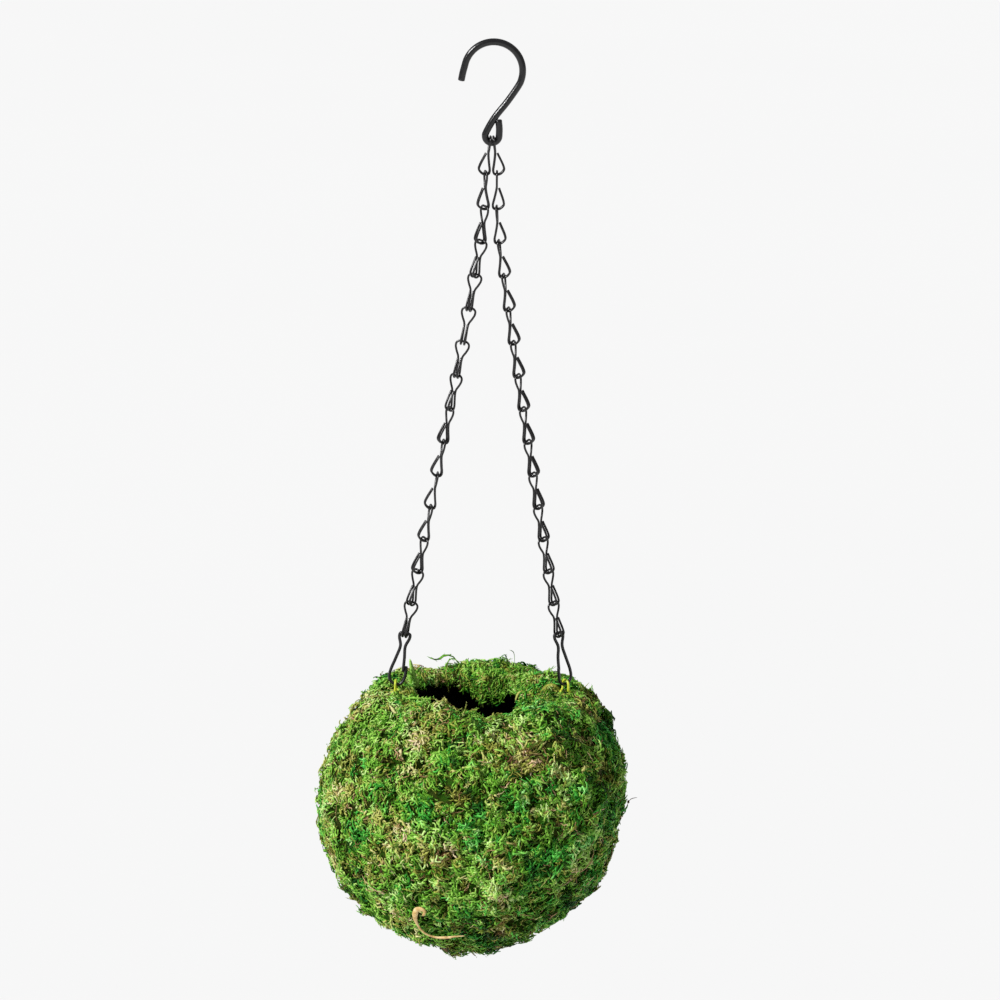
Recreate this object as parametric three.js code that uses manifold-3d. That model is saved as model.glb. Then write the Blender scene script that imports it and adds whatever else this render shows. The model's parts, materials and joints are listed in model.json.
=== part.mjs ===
// Hanging basket: an 8 inch ball of sheet moss on a wire frame, with a plastic liner, hung by two
// strands of folded wire links from one S-hook.
//
// Millimetres, +Z up. The origin is the underside of the S-hook's arch, where it sits on whatever
// holds it. The two strands hang in the XZ plane, and the basket hangs below them.

import * as THREE from 'three';
import { mergeVertices } from 'three/addons/utils/BufferGeometryUtils.js';
import Module from 'manifold-3d';

const wasm = await Module();
wasm.setup();

// ---- driving dimensions ----

const SEAT_GAP = 0.4; // play between two wires that hang on each other

// S-hook
const HOOK_WIRE = 4.3; // diameter
const HOOK_ARCH_R = 18; // centreline
const HOOK_EYE_R = 4.3; // centreline
const HOOK_EYE_DROP = 39.9; // from the arch's centre to the eye's centre
const HOOK_TIP_ANGLE = 197; // degrees round the arch from +X
const HOOK_SHANK_ANGLE = -24;
const HOOK_END = new THREE.Vector2(3.8, 9.3); // the eye's free end, from the eye's centre

// folded links
const LINK_COUNT = 15; // in each strand
const LINK_WIRE = 1.4;
const LINK_PITCH = 21.7; // from one hanging point to the next
const LOOP_X = 1.1; // half the distance between a link's two lower loops
const STRAND_START_X = 0.9; // half the distance between the strands in the hook's eye

// clips
const CLIP_WIRE = 2.0;
const CLIP_LENGTH = 34.8; // centreline of the top bar to centreline of the lower bend
const CLIP_X = 55; // where the clips take hold of the basket's rim
const LEFT_CLIP_TURN = -8; // degrees about the vertical
const RIGHT_CLIP_TURN = 32;

// basket, measured from the ball's centre
const RIM_RING_R = 55;
const RIM_RING_Z = 70;
const RIM_RING_WIRE = 3.0;
const RIB_SPHERE_R = 89;
const RIB_WIRE = 2.0;
const U_RIBS = 4; // each crosses the bottom and makes two ribs
const HOOP_HEIGHTS = [30, -18, -60];
const LINER_R = 85.5;
const LINER_WALL = 1.5;
const LINER_FLOOR_Z = -74;
const LINER_TOP_Z = 66.5;
const MOSS_R = 100;
const MOSS_INNER_R = 91.3;
const MOSS_MOUTH_R = 45;
const MOSS_CREST_R = 57;
const MOSS_CREST_Z = 75.5;
const CLIP_SEAT_Z = 77.6; // height of the clips' lower bends above the ball's centre
const TIE_WIRE = 1.6;
const TIE_HALF_WIDTH = 3.0;
const TIE_TOP_GAP = 0.8; // the basket tilts on the clips, so the ties hold them loosely

// ---- helpers ----

const rad = THREE.MathUtils.degToRad;

const blackWire = (roughness) =>
  new THREE.MeshStandardMaterial({ color: 0x1b1a1c, roughness, metalness: 0.6 });

// A curve sampled by its own points, so that tight bends keep the steps that their points give them.
class WireLine extends THREE.CatmullRomCurve3 {
  getPointAt(u, target) {
    return this.getPoint(u, target);
  }
  getTangentAt(u, target) {
    return this.getTangent(u, target);
  }
}

// A round wire bent along points, one step for each stretch between two points.
function wire(points, diameter, sides) {
  const section = new THREE.Shape();
  for (let i = 0; i < sides; i++) {
    const turn = (2 * Math.PI * i) / sides;
    const x = (Math.cos(turn) * diameter) / 2;
    const y = (Math.sin(turn) * diameter) / 2;
    if (i === 0) section.moveTo(x, y);
    else section.lineTo(x, y);
  }
  return new THREE.ExtrudeGeometry(section, {
    steps: points.length - 1,
    extrudePath: new WireLine(points),
  });
}

// Points of an arc in the XZ plane, both ends included.
function arcXZ(centreX, centreZ, radius, from, to, count) {
  return Array.from({ length: count }, (_, i) => {
    const turn = rad(from + ((to - from) * i) / (count - 1));
    return new THREE.Vector3(centreX + radius * Math.cos(turn), 0, centreZ + radius * Math.sin(turn));
  });
}

function solid(geometry) {
  geometry.deleteAttribute('normal');
  geometry.deleteAttribute('uv');
  const merged = mergeVertices(geometry, 1e-4);
  return new wasm.Manifold(
    new wasm.Mesh({
      numProp: 3,
      vertProperties: new Float32Array(merged.attributes.position.array),
      triVerts: new Uint32Array(merged.index.array),
    }),
  );
}

function geometryOf(manifold) {
  const { vertProperties, triVerts } = manifold.getMesh();
  const geometry = new THREE.BufferGeometry();
  geometry.setAttribute('position', new THREE.BufferAttribute(vertProperties, 3));
  geometry.setIndex(new THREE.BufferAttribute(triVerts, 1));
  geometry.computeVertexNormals();
  return geometry;
}

function piece(name, geometry, material) {
  const mesh = new THREE.Mesh(geometry, material);
  mesh.name = name;
  return mesh;
}

// ---- S-hook ----

const archZ = HOOK_WIRE / 2 - HOOK_ARCH_R;
const eyeZ = archZ - HOOK_EYE_DROP;

function hookGeometry() {
  const arch = arcXZ(0, archZ, HOOK_ARCH_R, HOOK_TIP_ANGLE, HOOK_SHANK_ANGLE, 16);
  const eye = arcXZ(0, eyeZ, HOOK_EYE_R, 165, 360, 10);
  const shank = [0.35, 0.7].map((share) => arch.at(-1).clone().lerp(eye[0], share));
  shank[1].x -= 1.2; // the shank runs straight before it bends into the eye
  const end = new THREE.Vector3(HOOK_END.x, 0, eyeZ + HOOK_END.y);
  const beforeEnd = eye.at(-1).clone().lerp(end, 0.5);
  beforeEnd.x += 0.3;
  return wire([...arch, ...shank, ...eye, beforeEnd, end], HOOK_WIRE, 8);
}

// ---- folded link ----

// A link hangs from the origin down -Z: an upright eye across X, then two loops side by side that lean
// to +Y. The wire is the same on both sides of the YZ plane.
const LINK_HALF = [
  [0, 0, 0],
  [2.3, 0, -0.1],
  [4.0, 0, -1.5],
  [4.2, 0, -3.8],
  [3.0, 0, -7.4],
  [1.4, 0, -11.0],
  [LOOP_X, -1.4, -17.0],
  [LOOP_X, -2.3, -21.0],
  [LOOP_X, -1.9, -22.8],
  [LOOP_X, -0.5, -(LINK_PITCH + LINK_WIRE + SEAT_GAP)],
  [LOOP_X, 2.0, -23.2],
  [LOOP_X, 4.4, -21.0],
  [LOOP_X, 4.4, -19.0],
  [1.0, 1.9, -11.8],
];

function linkGeometry() {
  const half = LINK_HALF.map(([x, y, z]) => new THREE.Vector3(x, y, z));
  const mirrored = half
    .slice(1)
    .reverse()
    .map((p) => new THREE.Vector3(-p.x, p.y, p.z));
  return wire([...mirrored, ...half], LINK_WIRE, 5);
}

// How far each link leans out of plumb, in degrees: the first two hang close to the other strand's, and
// the rest run out to the clips.
function linkSlant(index) {
  const first = [6.8, 0.4, 4.2];
  return index < first.length ? first[index] : 9 + (1.5 * (index - 3)) / (LINK_COUNT - 4);
}

// How far each link is wound about its own length, in degrees, as the two strands happen to hang: 0
// shows its eye face on from -Y with the loops towards -Y, and 90 points the loops to +X.
const leftWinding = (index) => -(50 + 40 * Math.cos((2 * Math.PI * index) / 10));
const rightWinding = (index) => 90 - 3.9 * index;

// One strand's hanging points, from the hook's eye down, and its links. side is -1 on the left.
function strand(side, name, winding) {
  const links = [];
  const at = new THREE.Vector3(side * STRAND_START_X, 0, eyeZ - 0.7);
  for (let index = 0; index < LINK_COUNT; index++) {
    const number = String(index + 1).padStart(2, '0');
    const mesh = piece(`${name}_link_${number}`, linkGeometry(), blackWire(0.42));
    const slant = rad(linkSlant(index));
    mesh.rotation.set(0, -side * slant, Math.PI + rad(winding(index)), 'YXZ');
    mesh.position.copy(at);
    links.push(mesh);
    at.x += side * LINK_PITCH * Math.sin(slant);
    at.z -= LINK_PITCH * Math.cos(slant);
  }
  return { links, end: at };
}

// ---- clip ----

// The clip hangs from the origin down -Z: a small loop that holds the last link, a waist, and a long
// loop whose hooked end latches beside the straight leg. +X is the side that bows out.
function clipGeometry() {
  const points = [
    [-3.1, 0.9, -24.6],
    [-2.4, 0.8, -16],
    [-1.6, 0, -8.6],
    [-3.2, 0, -2.8],
    [-3.0, 0, -0.5],
    [-2.0, 0, 0],
    [2.0, 0, 0],
    [3.0, 0, -0.5],
    [3.2, 0, -2.8],
    [1.6, 0, -8.6],
    [3.0, 0, -17],
    [5.0, 0, -26.5],
    [4.9, 0, -31],
    [3.2, 0, -33.6],
    [0, 0, -CLIP_LENGTH],
    [-2.6, 0, -34.2],
    [-4.5, -0.3, -31.4],
    [-4.9, -0.9, -27],
    [-4.6, -1.2, -22.4],
  ];
  return wire(points.map((p) => new THREE.Vector3(...p)), CLIP_WIRE, 6);
}

// ---- basket ----

const circle = (centreX, centreY, radius, sides) =>
  Array.from({ length: sides + 1 }, (_, i) => {
    const turn = (2 * Math.PI * (i % sides)) / sides;
    return new THREE.Vector2(centreX + radius * Math.cos(turn), centreY + radius * Math.sin(turn));
  });

// A lathe profile point on a sphere about the ball's centre, at a height.
const onSphere = (radius, z) => new THREE.Vector2(Math.sqrt(radius ** 2 - z ** 2), z);

function lathe(profile, segments) {
  return new THREE.LatheGeometry(profile, segments).rotateX(Math.PI / 2);
}

function ring(radius, z, diameter) {
  return solid(lathe(circle(radius, z, diameter / 2, 4), 32));
}

function frameGeometry() {
  let frame = ring(RIM_RING_R, RIM_RING_Z, RIM_RING_WIRE);
  for (const z of HOOP_HEIGHTS) {
    frame = frame.add(ring(Math.sqrt(RIB_SPHERE_R ** 2 - z ** 2), z, RIB_WIRE));
  }
  const rimAngle = THREE.MathUtils.radToDeg(Math.atan2(RIM_RING_Z, RIM_RING_R));
  for (let i = 0; i < U_RIBS; i++) {
    const arc = arcXZ(0, 0, RIB_SPHERE_R, 180 - rimAngle, 360 + rimAngle, 22);
    const rib = wire(arc, RIB_WIRE, 4).rotateZ((Math.PI * (i + 0.5)) / U_RIBS);
    frame = frame.add(solid(rib));
  }
  return geometryOf(frame);
}

// Profile points up a sphere from one height to another, evenly spaced by angle.
function sphereRise(radius, fromZ, toZ, count) {
  const from = Math.asin(fromZ / radius);
  const to = Math.asin(toZ / radius);
  return Array.from({ length: count }, (_, i) => {
    const turn = from + ((to - from) * i) / (count - 1);
    return new THREE.Vector2(radius * Math.cos(turn), radius * Math.sin(turn));
  });
}

function linerGeometry() {
  const innerR = LINER_R - LINER_WALL;
  const innerFloor = LINER_FLOOR_Z + LINER_WALL;
  const profile = [
    new THREE.Vector2(0, LINER_FLOOR_Z),
    ...sphereRise(LINER_R, LINER_FLOOR_Z, LINER_TOP_Z, 8),
    ...sphereRise(innerR, innerFloor, LINER_TOP_Z, 8).reverse(),
    new THREE.Vector2(0, innerFloor),
  ];
  return lathe(profile, 32);
}

// The moss is a shell round the frame that rolls over the top ring into the mouth. Two pockets over
// the ring leave room for the ties.
function mossGeometry() {
  const shoulderZ = 52;
  const shoulder = onSphere(MOSS_R, shoulderZ);
  const crest = new THREE.Vector2(MOSS_CREST_R, MOSS_CREST_Z);
  const overRing = RIM_RING_Z + RIM_RING_WIRE / 2 + 0.9;
  const lipBack = RIM_RING_R - RIM_RING_WIRE / 2 - 3;
  const lipFoot = 61;
  const outside = new THREE.QuadraticBezierCurve(shoulder, new THREE.Vector2(72, MOSS_CREST_Z), crest);
  const inside = new THREE.QuadraticBezierCurve(
    crest,
    new THREE.Vector2(MOSS_MOUTH_R, MOSS_CREST_Z),
    new THREE.Vector2(MOSS_MOUTH_R, lipFoot + 1.5),
  );
  const profile = [
    new THREE.Vector2(0, -MOSS_R),
    ...sphereRise(MOSS_R, -0.97 * MOSS_R, shoulderZ, 9),
    ...outside.getPoints(3).slice(1),
    ...inside.getPoints(4).slice(1),
    new THREE.Vector2((MOSS_MOUTH_R + lipBack) / 2, lipFoot - 0.5),
    new THREE.Vector2(lipBack, lipFoot + 1),
    new THREE.Vector2(lipBack, overRing),
    new THREE.Vector2(RIM_RING_R + 3.4, overRing),
    ...sphereRise(MOSS_INNER_R, -0.97 * MOSS_INNER_R, 64, 8).reverse(),
    new THREE.Vector2(0, -MOSS_INNER_R),
  ];
  let moss = solid(lathe(profile, 32));
  const pocket = new THREE.BoxGeometry(8.8, 8.8, 20);
  for (const side of [-1, 1]) {
    const cutter = solid(pocket.clone().translate(side * RIM_RING_R, 0, 76));
    moss = moss.subtract(cutter);
  }
  return geometryOf(moss);
}

// A tie is a coated wire bent into a tall loop: its top goes round the clip's lower bend and its foot
// round the rim ring, so it turns about a quarter on the way down. Its ends meet under the ring. topTurn
// is how far its top is turned from its foot, in degrees.
function tieGeometry(topTurn) {
  const top = CLIP_SEAT_Z + (CLIP_WIRE + TIE_WIRE) / 2 + TIE_TOP_GAP;
  const foot = RIM_RING_Z - (RIM_RING_WIRE + TIE_WIRE) / 2 - SEAT_GAP;
  const highBend = top - TIE_HALF_WIDTH;
  const lowBend = foot + TIE_HALF_WIDTH;
  const ends = 8; // degrees left open under the ring, on each side
  const flat = [
    ...arcXZ(0, lowBend, TIE_HALF_WIDTH, -90 + ends, 0, 5),
    new THREE.Vector3(TIE_HALF_WIDTH, 0, (lowBend + highBend) / 2),
    ...arcXZ(0, highBend, TIE_HALF_WIDTH, 0, 180, 9),
    new THREE.Vector3(-TIE_HALF_WIDTH, 0, (lowBend + highBend) / 2),
    ...arcXZ(0, lowBend, TIE_HALF_WIDTH, 180, 270 - ends, 5),
  ];
  const points = flat.map((p) => {
    const share = THREE.MathUtils.smoothstep(p.z, lowBend, highBend);
    return p.applyAxisAngle(new THREE.Vector3(0, 0, 1), rad(topTurn) * share);
  });
  return wire(points, TIE_WIRE, 5);
}

// ---- assembly ----

const basket = new THREE.Group();

basket.add(piece('s_hook', hookGeometry(), blackWire(0.3)));

const left = strand(-1, 'left', leftWinding);
const right = strand(1, 'right', rightWinding);
basket.add(...left.links, ...right.links);

// The clips' wire is thicker than the links', so it sits a little higher in the last link's loops.
const clipTop = left.end.clone();
clipTop.z += (CLIP_WIRE - LINK_WIRE) / 2 + 0.1;
const clipSlant = Math.asin((CLIP_X + clipTop.x) / CLIP_LENGTH);
const seatZ = clipTop.z - CLIP_LENGTH * Math.cos(clipSlant);

for (const side of [-1, 1]) {
  const clip = piece(side < 0 ? 'left_clip' : 'right_clip', clipGeometry(), blackWire(0.4));
  const turn = side < 0 ? Math.PI + rad(LEFT_CLIP_TURN) : rad(RIGHT_CLIP_TURN);
  clip.rotation.set(0, -side * clipSlant, turn, 'YXZ');
  clip.position.set(-side * clipTop.x, 0, clipTop.z);
  basket.add(clip);
}

const ball = new THREE.Group();
ball.position.z = seatZ - CLIP_SEAT_Z;
basket.add(ball);

const galvanised = new THREE.MeshStandardMaterial({ color: 0x2a2c2b, roughness: 0.5, metalness: 0.5 });
const film = new THREE.MeshStandardMaterial({ color: 0x0c0c0d, roughness: 0.35, metalness: 0 });
const sheetMoss = new THREE.MeshStandardMaterial({ color: 0x6f9a2c, roughness: 0.95, metalness: 0 });
ball.add(piece('wire_frame', frameGeometry(), galvanised));
ball.add(piece('plastic_liner', linerGeometry(), film));
ball.add(piece('moss_shell', mossGeometry(), sheetMoss));

for (const side of [-1, 1]) {
  const coated = new THREE.MeshStandardMaterial({ color: 0xa8b41e, roughness: 0.45, metalness: 0 });
  const topTurn = side < 0 ? 90 + LEFT_CLIP_TURN : RIGHT_CLIP_TURN - 90;
  const tie = piece(side < 0 ? 'left_tie' : 'right_tie', tieGeometry(topTurn), coated);
  tie.position.x = side * RIM_RING_R;
  ball.add(tie);
}

export default basket;
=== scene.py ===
import json
import math

import bpy
import numpy as np
from mathutils import Matrix, Vector


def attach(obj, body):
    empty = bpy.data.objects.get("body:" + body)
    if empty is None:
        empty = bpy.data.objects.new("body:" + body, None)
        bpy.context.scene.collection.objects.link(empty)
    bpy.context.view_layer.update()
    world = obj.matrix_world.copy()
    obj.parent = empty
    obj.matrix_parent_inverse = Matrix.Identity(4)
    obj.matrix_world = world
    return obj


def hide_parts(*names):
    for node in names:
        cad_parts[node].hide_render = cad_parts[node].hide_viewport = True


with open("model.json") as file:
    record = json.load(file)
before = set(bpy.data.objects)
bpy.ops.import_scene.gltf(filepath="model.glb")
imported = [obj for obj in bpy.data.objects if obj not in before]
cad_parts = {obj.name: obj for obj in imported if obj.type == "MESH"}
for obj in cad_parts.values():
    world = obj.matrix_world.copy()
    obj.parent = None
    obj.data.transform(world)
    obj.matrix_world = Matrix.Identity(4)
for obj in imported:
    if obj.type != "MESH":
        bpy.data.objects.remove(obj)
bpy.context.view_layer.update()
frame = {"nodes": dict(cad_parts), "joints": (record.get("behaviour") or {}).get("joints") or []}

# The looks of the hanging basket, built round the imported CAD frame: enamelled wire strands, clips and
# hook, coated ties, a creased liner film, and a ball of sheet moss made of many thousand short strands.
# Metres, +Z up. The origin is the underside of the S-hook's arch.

MM = 0.001
JOINTS = {joint["name"]: np.array(joint["pos_m"], float) for joint in frame["joints"]}
SEED = 20

# ---- places taken from the frame ----

LINKS = 15
RIM_R = 55 * MM
RIM_HEIGHT = 70 * MM  # the rim ring above the ball's centre
RIM_WIRE = 3.0 * MM
EYE_Z = JOINTS["side_swing"][2]
CLIP_TOP_Z = JOINTS["clips_hinge"][2]
CLIP_SEAT_HEIGHT = 77.6 * MM  # the clips' seats above the ball's centre
BALL = np.array([0.0, 0.0, JOINTS["basket_tilt"][2] - CLIP_SEAT_HEIGHT])


# ---- meshes ----

def mesh_piece(name, vertices, faces, material, body):
    """A mesh in the row frame that rides on a body. faces is a list of arrays, one for each face size."""
    mesh = bpy.data.meshes.new(name)
    vertices = np.asarray(vertices, np.float32)
    faces = [np.asarray(group, np.int32) for group in faces if len(group)]
    sizes = np.concatenate([np.full(len(group), group.shape[1], np.int32) for group in faces])
    corners = np.concatenate([group.ravel() for group in faces])
    mesh.vertices.add(len(vertices))
    mesh.vertices.foreach_set("co", vertices.ravel())
    mesh.loops.add(len(corners))
    mesh.loops.foreach_set("vertex_index", corners)
    mesh.polygons.add(len(sizes))
    mesh.polygons.foreach_set("loop_start", np.concatenate([[0], np.cumsum(sizes)[:-1]]).astype(np.int32))
    mesh.polygons.foreach_set("use_smooth", np.full(len(sizes), True))
    mesh.update(calc_edges=True)
    mesh.materials.append(material)
    piece = bpy.data.objects.new(name, mesh)
    bpy.context.scene.collection.objects.link(piece)
    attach(piece, body)
    return piece


def point_values(piece, name, values):
    """Stores one number for each vertex, for the material to read."""
    attribute = piece.data.attributes.new(name, "FLOAT", "POINT")
    attribute.data.foreach_set("value", np.asarray(values, np.float32))


def curve_through(points, steps):
    """A centripetal Catmull-Rom curve through the points, with that many steps between two of them."""
    points = np.asarray(points, float)
    before = 2 * points[0] - points[1]
    after = 2 * points[-1] - points[-2]
    knots = np.vstack([before, points, after])
    parts = []
    for a, b, c, d in zip(knots, knots[1:], knots[2:], knots[3:]):
        ta = 0.0
        tb = ta + math.sqrt(np.linalg.norm(b - a))
        tc = tb + math.sqrt(np.linalg.norm(c - b))
        td = tc + math.sqrt(np.linalg.norm(d - c))
        t = np.linspace(tb, tc, steps, endpoint=False)[:, None]
        ab = ((tb - t) * a + (t - ta) * b) / (tb - ta)
        bc = ((tc - t) * b + (t - tb) * c) / (tc - tb)
        cd = ((td - t) * c + (t - tc) * d) / (td - tc)
        abc = ((tc - t) * ab + (t - ta) * bc) / (tc - ta)
        bcd = ((td - t) * bc + (t - tb) * cd) / (td - tb)
        parts.append(((tc - t) * abc + (t - tb) * bcd) / (tc - tb))
    return np.vstack([*parts, points[-1:]])


def resampled(points, count):
    """Points evenly spaced along a line."""
    lengths = np.concatenate([[0], np.cumsum(np.linalg.norm(np.diff(points, axis=0), axis=1))])
    at = np.linspace(0, lengths[-1], count)
    return np.stack([np.interp(at, lengths, points[:, k]) for k in range(points.shape[1])], 1)


def unit(vectors):
    return vectors / np.maximum(np.linalg.norm(vectors, axis=-1, keepdims=True), 1e-12)


def tube(path, radius, sides=14):
    """Vertices and faces of a round wire along a path, with softened cut ends. radius may vary along it."""
    path = np.asarray(path, float)
    radius = np.broadcast_to(radius, len(path)).astype(float)
    tangents = unit(np.gradient(path, axis=0))
    # two more rings soften each end: how far out each lies and how wide it is, in wire radii
    swell = [(0.22, 0.93), (0.34, 0.66)]
    first = [path[0] - tangents[0] * radius[0] * out for out, _ in reversed(swell)]
    last = [path[-1] + tangents[-1] * radius[-1] * out for out, _ in swell]
    centres = np.vstack([first, path, last])
    first_radii = [radius[0] * size for _, size in reversed(swell)]
    last_radii = [radius[-1] * size for _, size in swell]
    radii = np.concatenate([first_radii, radius, last_radii])
    along = np.vstack([tangents[:1]] * 2 + [tangents] + [tangents[-1:]] * 2)
    side = np.cross(along[0], [0.31, 0.87, 0.38])
    rings = []
    turns = np.linspace(0, 2 * math.pi, sides, endpoint=False)
    for centre, tangent, r in zip(centres, along, radii):
        side = unit(side - tangent * np.dot(side, tangent))
        other = np.cross(tangent, side)
        rings.append(centre + r * (np.cos(turns)[:, None] * side + np.sin(turns)[:, None] * other))
    start = centres[:1] - along[:1] * radii[0] * 0.1
    end = centres[-1:] + along[-1:] * radii[-1] * 0.1
    return np.vstack([*rings, start, end]), capped_rows(len(centres), sides)


def capped_rows(rows, segments):
    """Quads up a stack of rings. The first and last rings each close on a point, and those two come last."""
    column = np.arange(segments)
    after = (column + 1) % segments
    strip = np.stack([column, after, segments + after, segments + column], 1)
    quads = [strip + row * segments for row in range(rows - 1)]
    first, last = rows * segments, rows * segments + 1
    low = np.stack([np.full(segments, first), after, column], 1)
    top = (rows - 1) * segments
    high = np.stack([np.full(segments, last), top + column, top + after], 1)
    return [np.vstack(quads), np.vstack([low, high])]


class Lumps:
    """Smooth noise from about -1 to 1 with one wavelength: a sum of waves in random directions."""

    def __init__(self, rng, wavelength, waves=22):
        self.waves = unit(rng.normal(size=(waves, 3))) * 2 * math.pi / wavelength
        self.waves *= rng.uniform(0.75, 1.3, size=(waves, 1))
        self.phases = rng.uniform(0, 2 * math.pi, waves)

    def __call__(self, points):
        return np.cos(points @ self.waves.T + self.phases).sum(-1) * 1.1 / math.sqrt(len(self.phases))


# ---- materials ----

def new_material(name):
    material = bpy.data.materials.new(name)
    material.use_nodes = True
    nodes = material.node_tree.nodes
    shader = next(node for node in nodes if node.type == "BSDF_PRINCIPLED")
    return material, nodes, material.node_tree.links, shader


def noise(nodes, links, scale, detail=3.0, roughness=0.55):
    """A noise texture on the object's own coordinates. scale is in waves for each metre."""
    place = nodes.new("ShaderNodeTexCoord")
    texture = nodes.new("ShaderNodeTexNoise")
    texture.inputs["Scale"].default_value = scale
    texture.inputs["Detail"].default_value = detail
    texture.inputs["Roughness"].default_value = roughness
    links.new(place.outputs["Object"], texture.inputs["Vector"])
    return texture.outputs["Fac"]


def ramp(nodes, links, value, stops):
    """Colours by position along value."""
    node = nodes.new("ShaderNodeValToRGB")
    elements = node.color_ramp.elements
    while len(elements) < len(stops):
        elements.new(0.5)
    for element, (position, colour) in zip(elements, stops):
        element.position = position
        element.color = (*colour, 1)
    links.new(value, node.inputs["Fac"])
    return node.outputs["Color"]


def spread(nodes, links, value, low, high, from_low=0.0, from_high=1.0):
    """A value moved from one range to another, and held inside it."""
    node = nodes.new("ShaderNodeMapRange")
    node.inputs["From Min"].default_value = from_low
    node.inputs["From Max"].default_value = from_high
    node.inputs["To Min"].default_value = low
    node.inputs["To Max"].default_value = high
    links.new(value, node.inputs["Value"])
    return node.outputs["Result"]


def bump(nodes, links, shader, height, strength, distance):
    node = nodes.new("ShaderNodeBump")
    node.inputs["Strength"].default_value = strength
    node.inputs["Distance"].default_value = distance
    links.new(height, node.inputs["Height"])
    links.new(node.outputs["Normal"], shader.inputs["Normal"])


def mixed(nodes, links, factor, first, second):
    node = nodes.new("ShaderNodeMix")
    node.data_type = "RGBA"
    links.new(factor, node.inputs["Factor"])
    links.new(first, node.inputs["A"])
    links.new(second, node.inputs["B"])
    return node.outputs["Result"]


def attribute(nodes, name):
    node = nodes.new("ShaderNodeAttribute")
    node.attribute_name = name
    return node.outputs["Fac"]


def enamel(name, colour, gloss, worn):
    """Black enamel on wire: small runs and pinholes, and a dull brown where it has rubbed thin."""
    material, nodes, links, shader = new_material(name)
    cloud = noise(nodes, links, 260)
    rubbed = noise(nodes, links, 900, detail=5)
    dark = tuple(channel * 0.55 for channel in colour)
    base = ramp(nodes, links, cloud, [(0.3, dark), (0.7, colour)])
    patch = ramp(nodes, links, rubbed, [(worn, (0, 0, 0)), (worn + 0.08, (1, 1, 1))])
    brown = ramp(nodes, links, cloud, [(0.2, (0.03, 0.022, 0.02)), (0.8, (0.08, 0.066, 0.068))])
    links.new(mixed(nodes, links, patch, base, brown), shader.inputs["Base Color"])
    links.new(spread(nodes, links, rubbed, gloss - 0.08, gloss + 0.16, 0.3, 0.7), shader.inputs["Roughness"])
    bump(nodes, links, shader, noise(nodes, links, 1500, detail=2), 0.25, 0.0002)
    return material


def coated_wire():
    """Thin yellow-green plastic on tie wire, a little uneven and dusty in places."""
    material, nodes, links, shader = new_material("tie_coating_plastic")
    cloud = noise(nodes, links, 500)
    stops = [(0.3, (0.36, 0.44, 0.02)), (0.55, (0.56, 0.62, 0.04)), (0.8, (0.7, 0.72, 0.13))]
    links.new(ramp(nodes, links, cloud, stops), shader.inputs["Base Color"])
    links.new(spread(nodes, links, cloud, 0.3, 0.5), shader.inputs["Roughness"])
    bump(nodes, links, shader, noise(nodes, links, 1800), 0.3, 0.0003)
    return material


def liner_film():
    """Black polythene film, matt where it is dusty and glossy on its creases."""
    material, nodes, links, shader = new_material("liner_polythene")
    cloud = noise(nodes, links, 90, detail=4)
    dust = noise(nodes, links, 1400, detail=2)
    base = ramp(nodes, links, cloud, [(0.3, (0.006, 0.006, 0.007)), (0.8, (0.016, 0.016, 0.015))])
    specks = ramp(nodes, links, dust, [(0.66, (0, 0, 0)), (0.72, (1, 1, 1))])
    soil = ramp(nodes, links, cloud, [(0.3, (0.05, 0.04, 0.022)), (0.7, (0.08, 0.07, 0.04))])
    links.new(mixed(nodes, links, specks, base, soil), shader.inputs["Base Color"])
    links.new(spread(nodes, links, cloud, 0.28, 0.55), shader.inputs["Roughness"])
    bump(nodes, links, shader, noise(nodes, links, 320, detail=6, roughness=0.65), 0.6, 0.0012)
    return material


GREEN = [
    (0.0, (0.012, 0.055, 0.001)),
    (0.3, (0.068, 0.24, 0.006)),
    (0.55, (0.20, 0.46, 0.045)),
    (0.8, (0.36, 0.61, 0.115)),
    (1.0, (0.52, 0.71, 0.25)),
]
OLIVE = [
    (0.0, (0.036, 0.034, 0.002)),
    (0.3, (0.15, 0.165, 0.014)),
    (0.55, (0.33, 0.36, 0.06)),
    (0.8, (0.50, 0.50, 0.15)),
    (1.0, (0.64, 0.60, 0.30)),
]
TEAL = [
    (0.0, (0.004, 0.05, 0.002)),
    (0.4, (0.024, 0.25, 0.016)),
    (0.75, (0.10, 0.50, 0.065)),
    (1.0, (0.34, 0.74, 0.22)),
]
STRAW = [
    (0.0, (0.05, 0.022, 0.008)),
    (0.35, (0.20, 0.11, 0.04)),
    (0.7, (0.48, 0.31, 0.15)),
    (1.0, (0.76, 0.60, 0.40)),
]


def moss_strands(name, ramps):
    """Moss whose lightness follows tone and whose hue follows hue, two values stored on each strand."""
    material, nodes, links, shader = new_material(name)
    fleck = noise(nodes, links, 700, detail=2)
    tone = nodes.new("ShaderNodeMath")
    tone.operation = "ADD"
    links.new(attribute(nodes, "tone"), tone.inputs[0])
    links.new(spread(nodes, links, fleck, -0.16, 0.16, 0.3, 0.7), tone.inputs[1])
    colour = ramp(nodes, links, tone.outputs[0], ramps[0][1])
    for threshold, stops in ramps[1:]:
        beyond = spread(nodes, links, attribute(nodes, "hue"), 0, 1, threshold - 0.06, threshold + 0.06)
        colour = mixed(nodes, links, beyond, colour, ramp(nodes, links, tone.outputs[0], stops))
    links.new(colour, shader.inputs["Base Color"])
    links.new(spread(nodes, links, fleck, 0.45, 0.75, 0.3, 0.7), shader.inputs["Roughness"])
    shader.inputs["Specular IOR Level"].default_value = 0.2
    return material


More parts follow.
